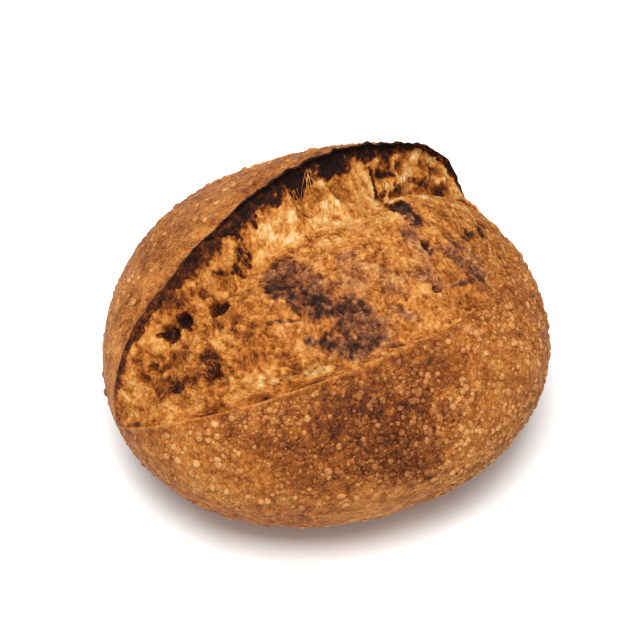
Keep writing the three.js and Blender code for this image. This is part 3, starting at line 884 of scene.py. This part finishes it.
def makeBlisterForm(look):  # one low dome of radius 1 with a sunk foot
    sides, profile = look["sides"], look["profile"]
    points, paleDomeShadedFoot = [(0.0, 0.0, 1.0)], [1.0]
    for radius, height in profile:
        for k in range(sides):
            a = 2*math.pi*k/sides
            points.append((radius*math.cos(a), radius*math.sin(a), height))
            # paler over the blister's top; at its sunk foot the value goes below 0, a dark ring of painted
            # shade where the blister meets the crust
            paleDomeShadedFoot.append(1-1.15*radius**6)
    points.append((0.0, 0.0, profile[-1][1]))
    paleDomeShadedFoot.append(0.0)
    last = 1+(len(profile)-1)*sides
    faces = [(0, 1+k, 1+(k+1) % sides) for k in range(sides)]
    for ring in range(len(profile)-1):
        for k in range(sides):
            a, b = 1+ring*sides+k, 1+ring*sides+(k+1) % sides
            faces.append((a, a+sides, b+sides, b))
    faces += [(last+k, len(points)-1, last+(k+1) % sides) for k in range(sides)]
    mesh = bpy.data.meshes.new("blisterForm")
    mesh.from_pydata([(x, y, z*look["flatness"]) for x, y, z in points], [], faces)
    mesh.attributes.new("paleDomeShadedFoot", "FLOAT", "POINT").data.foreach_set("value", paleDomeShadedFoot)
    mesh.shade_smooth()
    form = bpy.data.objects.new("blisterForm", mesh)
    bpy.context.collection.objects.link(form)
    return form


def scatterTree(name, material):  # forms scattered over a surface, with named inputs for their sizes
    tree = bpy.data.node_groups.new(name, "GeometryNodeTree")
    tree.is_modifier = True
    for socketName, kind in (("Geometry", "NodeSocketGeometry"), ("Surface", "NodeSocketObject"),
                             ("Form", "NodeSocketObject"), ("Spacing", "NodeSocketFloat"),
                             ("Per square metre", "NodeSocketFloat"), ("Smallest", "NodeSocketFloat"),
                             ("Largest", "NodeSocketFloat"), ("Rareness", "NodeSocketFloat"),
                             ("Pale low", "NodeSocketFloat"), ("Pale high", "NodeSocketFloat"),
                             ("Seed", "NodeSocketInt")):
        tree.interface.new_socket(name=socketName, in_out="INPUT", socket_type=kind)
    tree.interface.new_socket(name="Geometry", in_out="OUTPUT", socket_type="NodeSocketGeometry")
    new, link = tree.nodes.new, tree.links.new
    source, target = new("NodeGroupInput"), new("NodeGroupOutput")
    surface, form = new("GeometryNodeObjectInfo"), new("GeometryNodeObjectInfo")
    link(source.outputs["Surface"], surface.inputs["Object"])
    link(source.outputs["Form"], form.inputs["Object"])
    share = new("GeometryNodeInputNamedAttribute")
    share.data_type = "FLOAT"
    share.inputs["Name"].default_value = name
    scatter = new("GeometryNodeDistributePointsOnFaces")
    scatter.distribute_method = "POISSON"
    link(surface.outputs["Geometry"], scatter.inputs["Mesh"])
    link(source.outputs["Spacing"], scatter.inputs["Distance Min"])
    link(source.outputs["Per square metre"], scatter.inputs["Density Max"])
    link(share.outputs["Attribute"], scatter.inputs["Density Factor"])
    link(source.outputs["Seed"], scatter.inputs["Seed"])
    size = new("FunctionNodeRandomValue")
    link(source.outputs["Seed"], size.inputs["Seed"])
    skewed = new("ShaderNodeMath")
    skewed.operation = "POWER"
    link(size.outputs[1], skewed.inputs[0])
    link(source.outputs["Rareness"], skewed.inputs[1])
    spread = new("ShaderNodeMapRange")
    link(skewed.outputs[0], spread.inputs["Value"])
    link(source.outputs["Smallest"], spread.inputs["To Min"])
    link(source.outputs["Largest"], spread.inputs["To Max"])
    wobble = new("FunctionNodeRandomValue")
    wobble.data_type = "FLOAT_VECTOR"
    wobble.inputs[0].default_value = (0.8, 0.8, 0.6)
    wobble.inputs[1].default_value = (1.25, 1.25, 1.2)
    scaled = new("ShaderNodeVectorMath")
    scaled.operation = "SCALE"
    link(wobble.outputs[0], scaled.inputs[0])
    link(spread.outputs[0], scaled.inputs["Scale"])
    place = new("GeometryNodeInstanceOnPoints")
    link(scatter.outputs["Points"], place.inputs["Points"])
    link(form.outputs["Geometry"], place.inputs["Instance"])
    link(scatter.outputs["Rotation"], place.inputs["Rotation"])
    link(scaled.outputs["Vector"], place.inputs["Scale"])
    pale = new("FunctionNodeRandomValue")
    link(source.outputs["Pale low"], pale.inputs[2])
    link(source.outputs["Pale high"], pale.inputs[3])
    keep = new("GeometryNodeStoreNamedAttribute")
    keep.domain = "INSTANCE"
    keep.inputs["Name"].default_value = "paleness"
    link(place.outputs["Instances"], keep.inputs["Geometry"])
    link(pale.outputs[1], keep.inputs["Value"])
    realise, paint = new("GeometryNodeRealizeInstances"), new("GeometryNodeSetMaterial")
    link(keep.outputs["Geometry"], realise.inputs["Geometry"])
    link(realise.outputs["Geometry"], paint.inputs["Geometry"])
    paint.inputs["Material"].default_value = material
    link(paint.outputs["Geometry"], target.inputs["Geometry"])
    return tree


def scatterPiece(name, treeName, surface, form, sizes, material):
    tree = scatterTree(treeName, material)
    holder = bpy.data.objects.new(name+"Holder", bpy.data.meshes.new(name+"Holder"))
    bpy.context.collection.objects.link(holder)
    modifier = holder.modifiers.new("scatter", "NODES")
    modifier.node_group = tree
    inputs = {item.name: item.identifier for item in tree.interface.items_tree if item.in_out == "INPUT"}
    for key, value in {"Surface": surface, "Form": form, **sizes}.items():
        modifier[inputs[key]] = value
    evaluated = holder.evaluated_get(bpy.context.evaluated_depsgraph_get())
    mesh = bpy.data.meshes.new_from_object(evaluated)
    mesh.name = name
    for spare in (holder, form):
        bpy.data.objects.remove(spare, do_unlink=True)
    piece = bpy.data.objects.new(name, mesh)
    bpy.context.collection.objects.link(piece)
    return piece


def makeBlisters(name, look, surface):
    sizes = {"Spacing": look["spacing"], "Per square metre": look["perSquareMetre"],
             "Smallest": look["smallest"], "Largest": look["largest"], "Rareness": look["rareness"],
             "Pale low": look["paleLow"], "Pale high": look["paleHigh"], "Seed": look["seed"]}
    return scatterPiece(name, "blisters", surface, makeBlisterForm(look), sizes, crustMaterial)


largeBlisters = makeBlisters("largeBlisters", largeBlister, crustPiece)
smallBlisters = makeBlisters("smallBlisters", smallBlister, crustPiece)
print("blisters made", len(largeBlisters.data.polygons), "and", len(smallBlisters.data.polygons), "faces")

bloomLook = {"columns": 410, "rows": 226, "underRows": 17, "underDepth": 9.0, "underEase": 1.8,
             "torn": 0.65, "tornSize": 7.0, "leftTorn": 0.35, "calm": 0.65, "grit": 0.42, "gritSize": 1.6,
             "cave": 3.8, "caveSize": 8.0, "rib": 0.35, "crackle": 0.55, "ash": 0.55,
             "fibre": 0.4, "fibreWidth": 1.3, "fibreStretch": 3.0,
             "pore": 1.6, "poreSize": 4.6, "finePore": 0.8, "finePoreSize": 2.1,
             "flake": 1.1, "flakeSize": 4.5}
# cave darkens the caves at the foot of the ear's inner face as painted shade
# relief and leftReliefShade darken the low places of the fine relief and lighten its high places: painted
# shade and light
bloomTone = {"ground": 0.49, "uneven": 0.11, "unevenSize": 18.0, "fieldShare": 0.9,
             "face": 0.62, "rightFace": 0.42, "faceMottle": 0.30, "faceShare": 0.92,
             "crumb": 0.25, "crumbMottle": 0.24, "crumbShare": 0.88, "rib": 0.05,
             "leftDarker": 0.06, "leftUneven": 0.22, "leftFine": 0.05, "leftReliefShade": 0.05,
             "palePatch": 0.85, "burntPatch": 0.78, "burntUneven": 0.42, "burntFine": 0.3,
             "middle": 0.10, "small": 0.13, "relief": 0.14, "fibre": 0.09, "lipShadow": 0.16, "cave": 0.30,
             "rim": 0.96, "endRim": 0.84, "rimUneven": 0.16,
             "bandLeast": 1.6, "bandMore": 6.8, "bandCentre": 103.0, "bandLeft": 28.0, "bandRight": 38.0}


def leftPart(alpha):  # 1 on the bloom's left part
    return smooth((alpha-106)/12)


def burntBand(alpha):  # how far down its inner face the ear is burnt
    spread = np.where(alpha > bloomTone["bandCentre"], bloomTone["bandLeft"], bloomTone["bandRight"])
    return bloomTone["bandLeast"]+bloomTone["bandMore"]*np.exp(-((alpha-bloomTone["bandCentre"])/spread)**2)


def bloomBrowning(place, surface, relief, fibre, ribs, masks):
    front, past, alpha = (place[key] for key in ("front", "past", "alpha"))
    tone = bloomTone
    level = tone["ground"]+tone["uneven"]*layeredNoise(surface, tone["unevenSize"], 3, 60)
    for mask, area in zip(masks, patches):
        if area["kind"] in ("golden", "brown"):
            level = level+(area["level"]-level)*mask*tone["fieldShare"]
    patchy = 0.5+0.5*noise(surface, 6.0, 73)+0.3*noise(surface, 2.0, 74)
    band = burntBand(alpha)
    depth = band+(3.0+3.0*smooth((64-alpha)/8))*(0.8+0.6*patchy)
    face = smooth(2.0*(1-front/depth))*smooth((178-alpha)/20)
    mottle = noise(surface, 5.0, 78)+0.8*noise(surface, 2.2, 79)
    left = leftPart(alpha)
    leftTone = tone["leftDarker"]+tone["leftUneven"]*noise(surface, 9.0, 93)
    # painted shade in the low places of the fine relief and painted light on its high places, on the left
    # part
    leftTone = leftTone+tone["leftFine"]*noise(surface, 2.8, 94)-tone["leftReliefShade"]*np.clip(relief, -1.5, 1)
    level = level+left*leftTone
    faceTone = mix(tone["face"], tone["rightFace"], smooth((58-alpha)/8))
    level = mix(level, faceTone+tone["faceMottle"]*mottle+tone["rib"]*ribs, tone["faceShare"]*face)
    middle = smooth((alpha-40)/7)*smooth((106-alpha)/8)
    crumb = middle*smooth((front-band+0.5)/4)*smooth((27-front)/9)
    level = mix(level, tone["crumb"]+tone["crumbMottle"]*mottle+tone["rib"]*ribs, tone["crumbShare"]*crumb)
    uneven = tone["burntUneven"]*noise(surface, 2.4, 75)
    strength = {"pale": tone["palePatch"],
                "burnt": tone["burntPatch"]+uneven+tone["burntFine"]*noise(surface, 1.1, 76)}
    for mask, area in zip(masks, patches):
        if area["kind"] in strength:
            level = level+(area["level"]-level)*np.clip(mask*strength[area["kind"]], 0, 1)
    even = 1-0.3*left-0.4*kindMask(masks, "pale")
    level = level+even*(tone["middle"]*noise(surface, 3.4, 63)+tone["small"]*noise(surface, 1.5, 66))
    # painted shade in the low places of the fine relief and painted light on its high places; paler along
    # the raised fibres
    level = level-tone["relief"]*np.clip(relief, -1.2, 1)-tone["fibre"]*fibre
    reach = 0.34*noise(surface, 5.0, 64)+0.26*noise(surface, 2.0, 65)
    reach = band*(1+(1-0.3*left)*reach)+0.6*left
    rim = smooth((reach-front)/1.6+0.5)*smooth((178-alpha)/20)
    rimTone = mix(tone["rim"], tone["endRim"], smooth((alpha-102)/10)+0.9*smooth((56-alpha)/10))
    level = mix(level, rimTone+tone["rimUneven"]*noise(surface, 2.2, 68), rim)
    level = level+tone["lipShadow"]*place["peel"]*np.exp(-((past-1.0)/1.6)**2)
    # painted shade inside the hollows
    level = level+hollowShadeAndInside(place)[0]*(0.8+0.3*noise(surface, 2.0, 77))
    return np.clip(level, 0.02, 1.0)


def tornRelief(points, place, along, across, warp, masks):  # fine height, and what the colours need of it
    look, front, alpha = bloomLook, place["front"], place["alpha"]
    burnt, brown, pale = (kindMask(masks, kind) for kind in ("burnt", "brown", "pale"))
    fibre = noise(np.stack([along+warp, across/look["fibreStretch"], 0*along], -1), look["fibreWidth"], 82)
    fibre = fibre*(1-0.75*smooth((9-front)/3)*smooth((104-alpha)/8))
    torn = 1-2*np.abs(layeredNoise(points, look["tornSize"], 3, 83))
    grit = 1-2*np.abs(layeredNoise(points, look["gritSize"], 2, 88))
    hanging = smooth((front-1)/3)*smooth((28-front)/6)*smooth((108-alpha)/8)
    calm = 1-look["calm"]*hanging
    relief = look["torn"]*(1+look["leftTorn"]*leftPart(alpha))*calm*(torn-0.45)
    relief = relief+look["grit"]*(grit-0.45)+look["fibre"]*fibre
    crumby = np.clip(pale+0.7*smooth(1-front/24)*place["share"]+0.12, 0, 1)
    large = smooth(1-bubbles(points, look["poreSize"], 5)/0.62)*smooth(0.5+1.5*noise(points, 9.0, 86))
    small = smooth(1-bubbles(points, look["finePoreSize"], 6)/0.6)
    relief = relief-crumby*calm*(look["pore"]*large+look["finePore"]*small)
    ribs = noise(np.stack([along+1.4*warp, across/2.6, 0*along], -1), 2.2, 92)
    relief = relief+look["rib"]*ribs*hanging
    crackle = noise(points, 3.2, 96)+0.8*noise(points, 1.6, 97)
    relief = relief+look["crackle"]*crackle*smooth((11-front)/5)*smooth((150-alpha)/20)
    foot = smooth((front-2.5)/4)*smooth((17-front)/7)*smooth((150-alpha)/20)
    caves = foot*smooth(1.3-bubbles(points, look["caveSize"], 9)/0.5)
    caves = caves*smooth((68-alpha)/8)
    relief = relief-look["cave"]*caves
    flake = smooth((noise(points, look["flakeSize"], 90)+0.5*noise(points, 1.6, 91))/0.25)
    relief = relief+look["flake"]*(flake-0.5)*np.clip(burnt+0.6*brown, 0, 1)
    return relief*(1-0.75*hollowShadeAndInside(place)[1]), fibre, ribs, caves


def makeBloom():
    n, m = bloomLook["columns"], bloomLook["rows"]
    dense = np.linspace(0, 1, draft["along"])
    earDir, creaseDir = edgeDirections(scoreAlpha(dense))
    middle = skin(between(earDir, creaseDir, np.full(draft["along"], 0.5)), True)[0]
    u = evenSteps(middle, n)
    earDir, creaseDir = edgeDirections(scoreAlpha(u))
    t = np.linspace(0, 1, draft["across"])*np.ones((n+1, 1))
    rough = skin(between(earDir[:, None], creaseDir[:, None], t), True)[0]
    t = np.array([evenSteps(rough[i], m) for i in range(n+1)])
    for _ in range(draft["evenings"]):
        t[1:-1] = (t[:-2]+2*t[1:-1]+t[2:])/4
    surface, place = skin(between(earDir[:, None], creaseDir[:, None], t), True)
    normals = gridNormals(surface)
    normals = normals*np.sign(normals[n//2, m//2, 2])
    inner = smooth(np.minimum(place["front"], place["past"])/2.5)
    along = np.cumsum(np.linalg.norm(np.diff(surface[:, m//2], axis=0), axis=-1))
    along = np.concatenate([[0], along])[:, None]*np.ones(m+1)
    across = np.cumsum(np.linalg.norm(np.diff(surface, axis=1), axis=-1), 1)
    across = np.concatenate([np.zeros((n+1, 1)), across], 1)
    warp = 5.0*noise(place["p"], 14.0, 80)+1.5*noise(place["p"], 4.0, 81)
    masks = patchMasks(surface)
    burnt, brown, pale = (kindMask(masks, kind) for kind in ("burnt", "brown", "pale"))
    relief, fibre, ribs, caves = tornRelief(surface, place, along, across, warp, masks)
    points = surface+normals*(relief*inner)[..., None]
    browning = bloomBrowning(place, surface, relief, fibre, ribs, masks)
    # painted shade in the caves at the foot of the ear's inner face
    browning = np.clip(browning+bloomTone["cave"]*caves, 0, 1)
    weave = np.stack([along+warp, across, 0*along], -1).reshape(-1, 3)
    blistered = inner*np.clip(0.3+0.7*brown-pale-0.5*burnt, 0.03, 1)
    blistered = blistered*smooth((place["front"]-12)/8)*smooth((place["past"]-9)/4)
    index = np.arange((n+1)*(m+1)).reshape(n+1, m+1)
    index[0, :] = index[0, 0]
    index[-1, :] = index[-1, 0]
    corners = [index[:-1, :-1], index[1:, :-1], index[1:, 1:], index[:-1, 1:]]
    faces = np.stack(corners, -1).reshape(-1, 4).tolist()
    allPoints = [points.reshape(-1, 3)]
    start = (n+1)*(m+1)
    rows = [index[:, 0].tolist()]
    underTones = []
    for k in range(1, bloomLook["underRows"]):
        way = (k/bloomLook["underRows"])**bloomLook["underEase"]
        under, _ = skin(between(earDir, creaseDir, np.full(n+1, way)), True, bloomLook["underDepth"])
        underTones.append(np.full(n-1, underTone(way)))
        allPoints.append(under[1:-1])
        rows.append([int(index[0, 0])]+list(range(start, start+n-1))+[int(index[-1, 0])])
        start += n-1
    rows.append(index[:, m].tolist())
    for k in range(bloomLook["underRows"]):
        for i in range(n):
            faces.append([rows[k][i+1], rows[k][i], rows[k+1][i], rows[k+1][i+1]])
    faces = [f for f in (list(dict.fromkeys(f)) for f in faces) if len(f) > 2]
    allPoints = np.concatenate(allPoints)
    browning = np.concatenate([browning.reshape(-1), *underTones])
    used = np.unique(np.concatenate([np.array(f) for f in faces]))  # the ends' spare points go
    renumber = np.full(len(allPoints), -1)
    renumber[used] = np.arange(len(used))
    faces = [[int(renumber[i]) for i in f] for f in faces]
    faces = outwardFaces(allPoints[used], faces)
    shares = np.concatenate([blistered.reshape(-1), np.zeros(len(allPoints)-blistered.size)])
    ash = np.clip(np.maximum(brown, burnt)+0.1, 0, 1)*smooth((place["front"]-22)/8)*bloomLook["ash"]
    ash = ash*smooth((116-place["alpha"])/6)*(0.75+0.5*noise(surface, 5.0, 95))
    ash = np.concatenate([ash.reshape(-1), np.zeros(len(allPoints)-ash.size)])
    piece = makePiece("bloom", allPoints[used], faces, crumbMaterial,
                      {"browning": browning[used], "blisters": shares[used], "ash": ash[used]})
    weave = np.concatenate([weave, np.zeros((len(allPoints)-len(weave), 3))])[used]
    tear = piece.data.attributes.new("tear", "FLOAT_VECTOR", "POINT")
    tear.data.foreach_set("vector", weave.astype(np.float32).ravel())
    return piece


bloomPiece = makeBloom()
print("bloom made", len(bloomPiece.data.polygons), "faces")

bloomBlister = {"spacing": 0.0012, "perSquareMetre": 300000.0, "smallest": 0.00028, "largest": 0.00075,
                "rareness": 1.4, "flatness": 0.55, "paleLow": 0.04, "paleHigh": 0.20, "seed": 21,
                "profile": ((0.6, 0.72), (1.08, -0.25)), "sides": 6}
bloomBlisters = makeBlisters("bloomBlisters", bloomBlister, bloomPiece)
print("bloom blisters made", len(bloomBlisters.data.polygons), "faces")

strandLook = {"fans": 14, "most": 6, "sides": 6, "steps": 7, "thin": 0.05, "thick": 0.10, "taut": 0.15,
              "middle": (62, 112), "right": (28, 62), "length": (4, 11), "swing": 3.2, "bend": 0.45,
              "seed": 12}


def makeStrands():  # fans of torn threads between the ear's inner face and the crumb at its foot
    random = np.random.default_rng(strandLook["seed"])
    steps, sides, k = strandLook["steps"], strandLook["sides"], score["mmPerDegree"]
    t = np.linspace(0, 1, steps+1)
    points, faces, browning, first = [], [], [], 0
    for fan in range(strandLook["fans"]):
        alpha = random.uniform(*strandLook["middle" if fan % 4 else "right"])
        fromFace = random.random() < 0.5
        root = random.uniform(3, 9) if fromFace else random.uniform(12, 22)
        orange = abs(alpha-63) < 6 or random.random() < 0.2
        tone = random.uniform(0.45, 0.65) if orange else random.uniform(0.25, 0.5)
        for _ in range(random.integers(2, strandLook["most"])):
            reach = random.uniform(*strandLook["length"])*(1 if fromFace else -1)
            ends = []
            shifts = random.normal(0, 0.5), random.normal(0, strandLook["swing"])
            for front, shift in zip((root, root+reach), shifts):
                a = alpha+shift
                ends.append(np.array([a, scoreSides(a)[0]-np.clip(front, 2, 26)/k]))
            places = [skinPoint(at) for at in ends]
            path = np.array([skinPoint(at) for at in ends[0]+(ends[1]-ends[0])*t[:, None]])
            line = mix(path+(0, 0, 0.4), places[0]+(places[1]-places[0])*t[:, None], strandLook["taut"])
            phase = random.uniform(0, 20)
            bend = np.stack([np.sin(phase+3.1*t), np.cos(phase*1.3+2.3*t), np.sin(phase*0.7+4.0*t)+0.9], -1)
            line = line+strandLook["bend"]*bend*np.sin(np.pi*t)[:, None]
            forward = unit(np.gradient(line, axis=0))
            side = unit(np.cross(forward, (0.3, 0.2, 1.0)))
            up = np.cross(side, forward)
            radius = random.uniform(strandLook["thin"], strandLook["thick"])*(0.6+2.2*(1-t)**3+0.9*t**4)
            turn = 2*np.pi*np.arange(sides)/sides
            thickness = random.uniform(0.5, 1)
            ring = side[:, None]*np.cos(turn)[:, None]*1.4+up[:, None]*np.sin(turn)[:, None]*thickness
            points += [(line[:, None]+ring*radius[:, None, None]).reshape(-1, 3), line[[0, -1]]]
            for step in range(steps):
                for q in range(sides):
                    a, b = first+step*sides+q, first+step*sides+(q+1) % sides
                    faces.append([a, b, b+sides, a+sides])
            low = first+(steps+1)*sides
            for q in range(sides):
                faces.append([low, first+(q+1) % sides, first+q])
                faces.append([low+1, first+steps*sides+q, first+steps*sides+(q+1) % sides])
            tones = tone+0.12*np.abs(t-0.4)
            browning += [np.repeat(tones, sides), tones[[0, -1]]]
            first = low+2
    points = np.concatenate(points)
    return makePiece("strands", points, outwardFaces(points, faces), crumbMaterial,
                     {"browning": np.concatenate(browning)})


strandsPiece = makeStrands()
print("strands made", len(strandsPiece.data.polygons), "faces")

studio = {
    "floorSize": 4,
    "floorDrop": 0.0003,
    "floorColour": (0.86, 0.86, 0.86, 1),
    "floorRoughness": 0.9,
    "world": 0.56,
    "key": {"at": (-0.18, -0.22, 1.2), "size": 0.7, "power": 21.5},
    "fill": {"at": (-0.9, -0.9, 1.0), "size": 0.8, "power": 1.0},
}

far = studio["floorSize"]
floorMesh = bpy.data.meshes.new("floor")
floorMesh.from_pydata([(-far, -far, 0), (far, -far, 0), (far, far, 0), (-far, far, 0)], [], [(0, 1, 2, 3)])
floor = bpy.data.objects.new("floor", floorMesh)
bpy.context.collection.objects.link(floor)
floor.location.z = -studio["floorDrop"]
floorMaterial = bpy.data.materials.new("paleTable")
floorMaterial.use_nodes = True
floorShader = floorMaterial.node_tree.nodes["Principled BSDF"]
floorShader.inputs["Base Color"].default_value = studio["floorColour"]
floorShader.inputs["Roughness"].default_value = studio["floorRoughness"]
floorMesh.materials.append(floorMaterial)


def addLight(name, at, size, power):
    data = bpy.data.lights.new(name, "AREA")
    data.size = size
    data.energy = power
    lamp = bpy.data.objects.new(name, data)
    lamp.location = at
    toward = np.array([0, 0, 0.05])-np.array(at)
    lamp.rotation_euler = vectorToTrack(toward)
    bpy.context.collection.objects.link(lamp)


def vectorToTrack(toward):
    return Vector(toward).to_track_quat("-Z", "Y").to_euler()


for name in ("key", "fill"):
    addLight(name, **studio[name])
world = bpy.data.worlds.new("studio")
world.use_nodes = True
surround = world.node_tree.nodes["Background"]
surround.inputs["Color"].default_value = (1, 1, 1, 1)
surround.inputs["Strength"].default_value = studio["world"]
bpy.context.scene.world = world
bpy.context.scene.view_settings.view_transform = "Standard"

cameraPlace = {"at": (-0.291195, -0.517499, 0.72193), "lookAt": (0.005114, 0.006778, 0.0531),
               "lens": 99.575, "sensor": 36.0}
cameraData = bpy.data.cameras.new("camera")
cameraData.lens = cameraPlace["lens"]
cameraData.sensor_width = cameraPlace["sensor"]
camera = bpy.data.objects.new("camera", cameraData)
camera.location = cameraPlace["at"]
camera.rotation_euler = vectorToTrack(np.array(cameraPlace["lookAt"])-np.array(cameraPlace["at"]))
bpy.context.collection.objects.link(camera)
bpy.context.scene.camera = camera

for piece in (crustPiece, bloomPiece, largeBlisters, smallBlisters, bloomBlisters, strandsPiece):
    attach(piece, "root")
    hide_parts("loaf")


print("done")
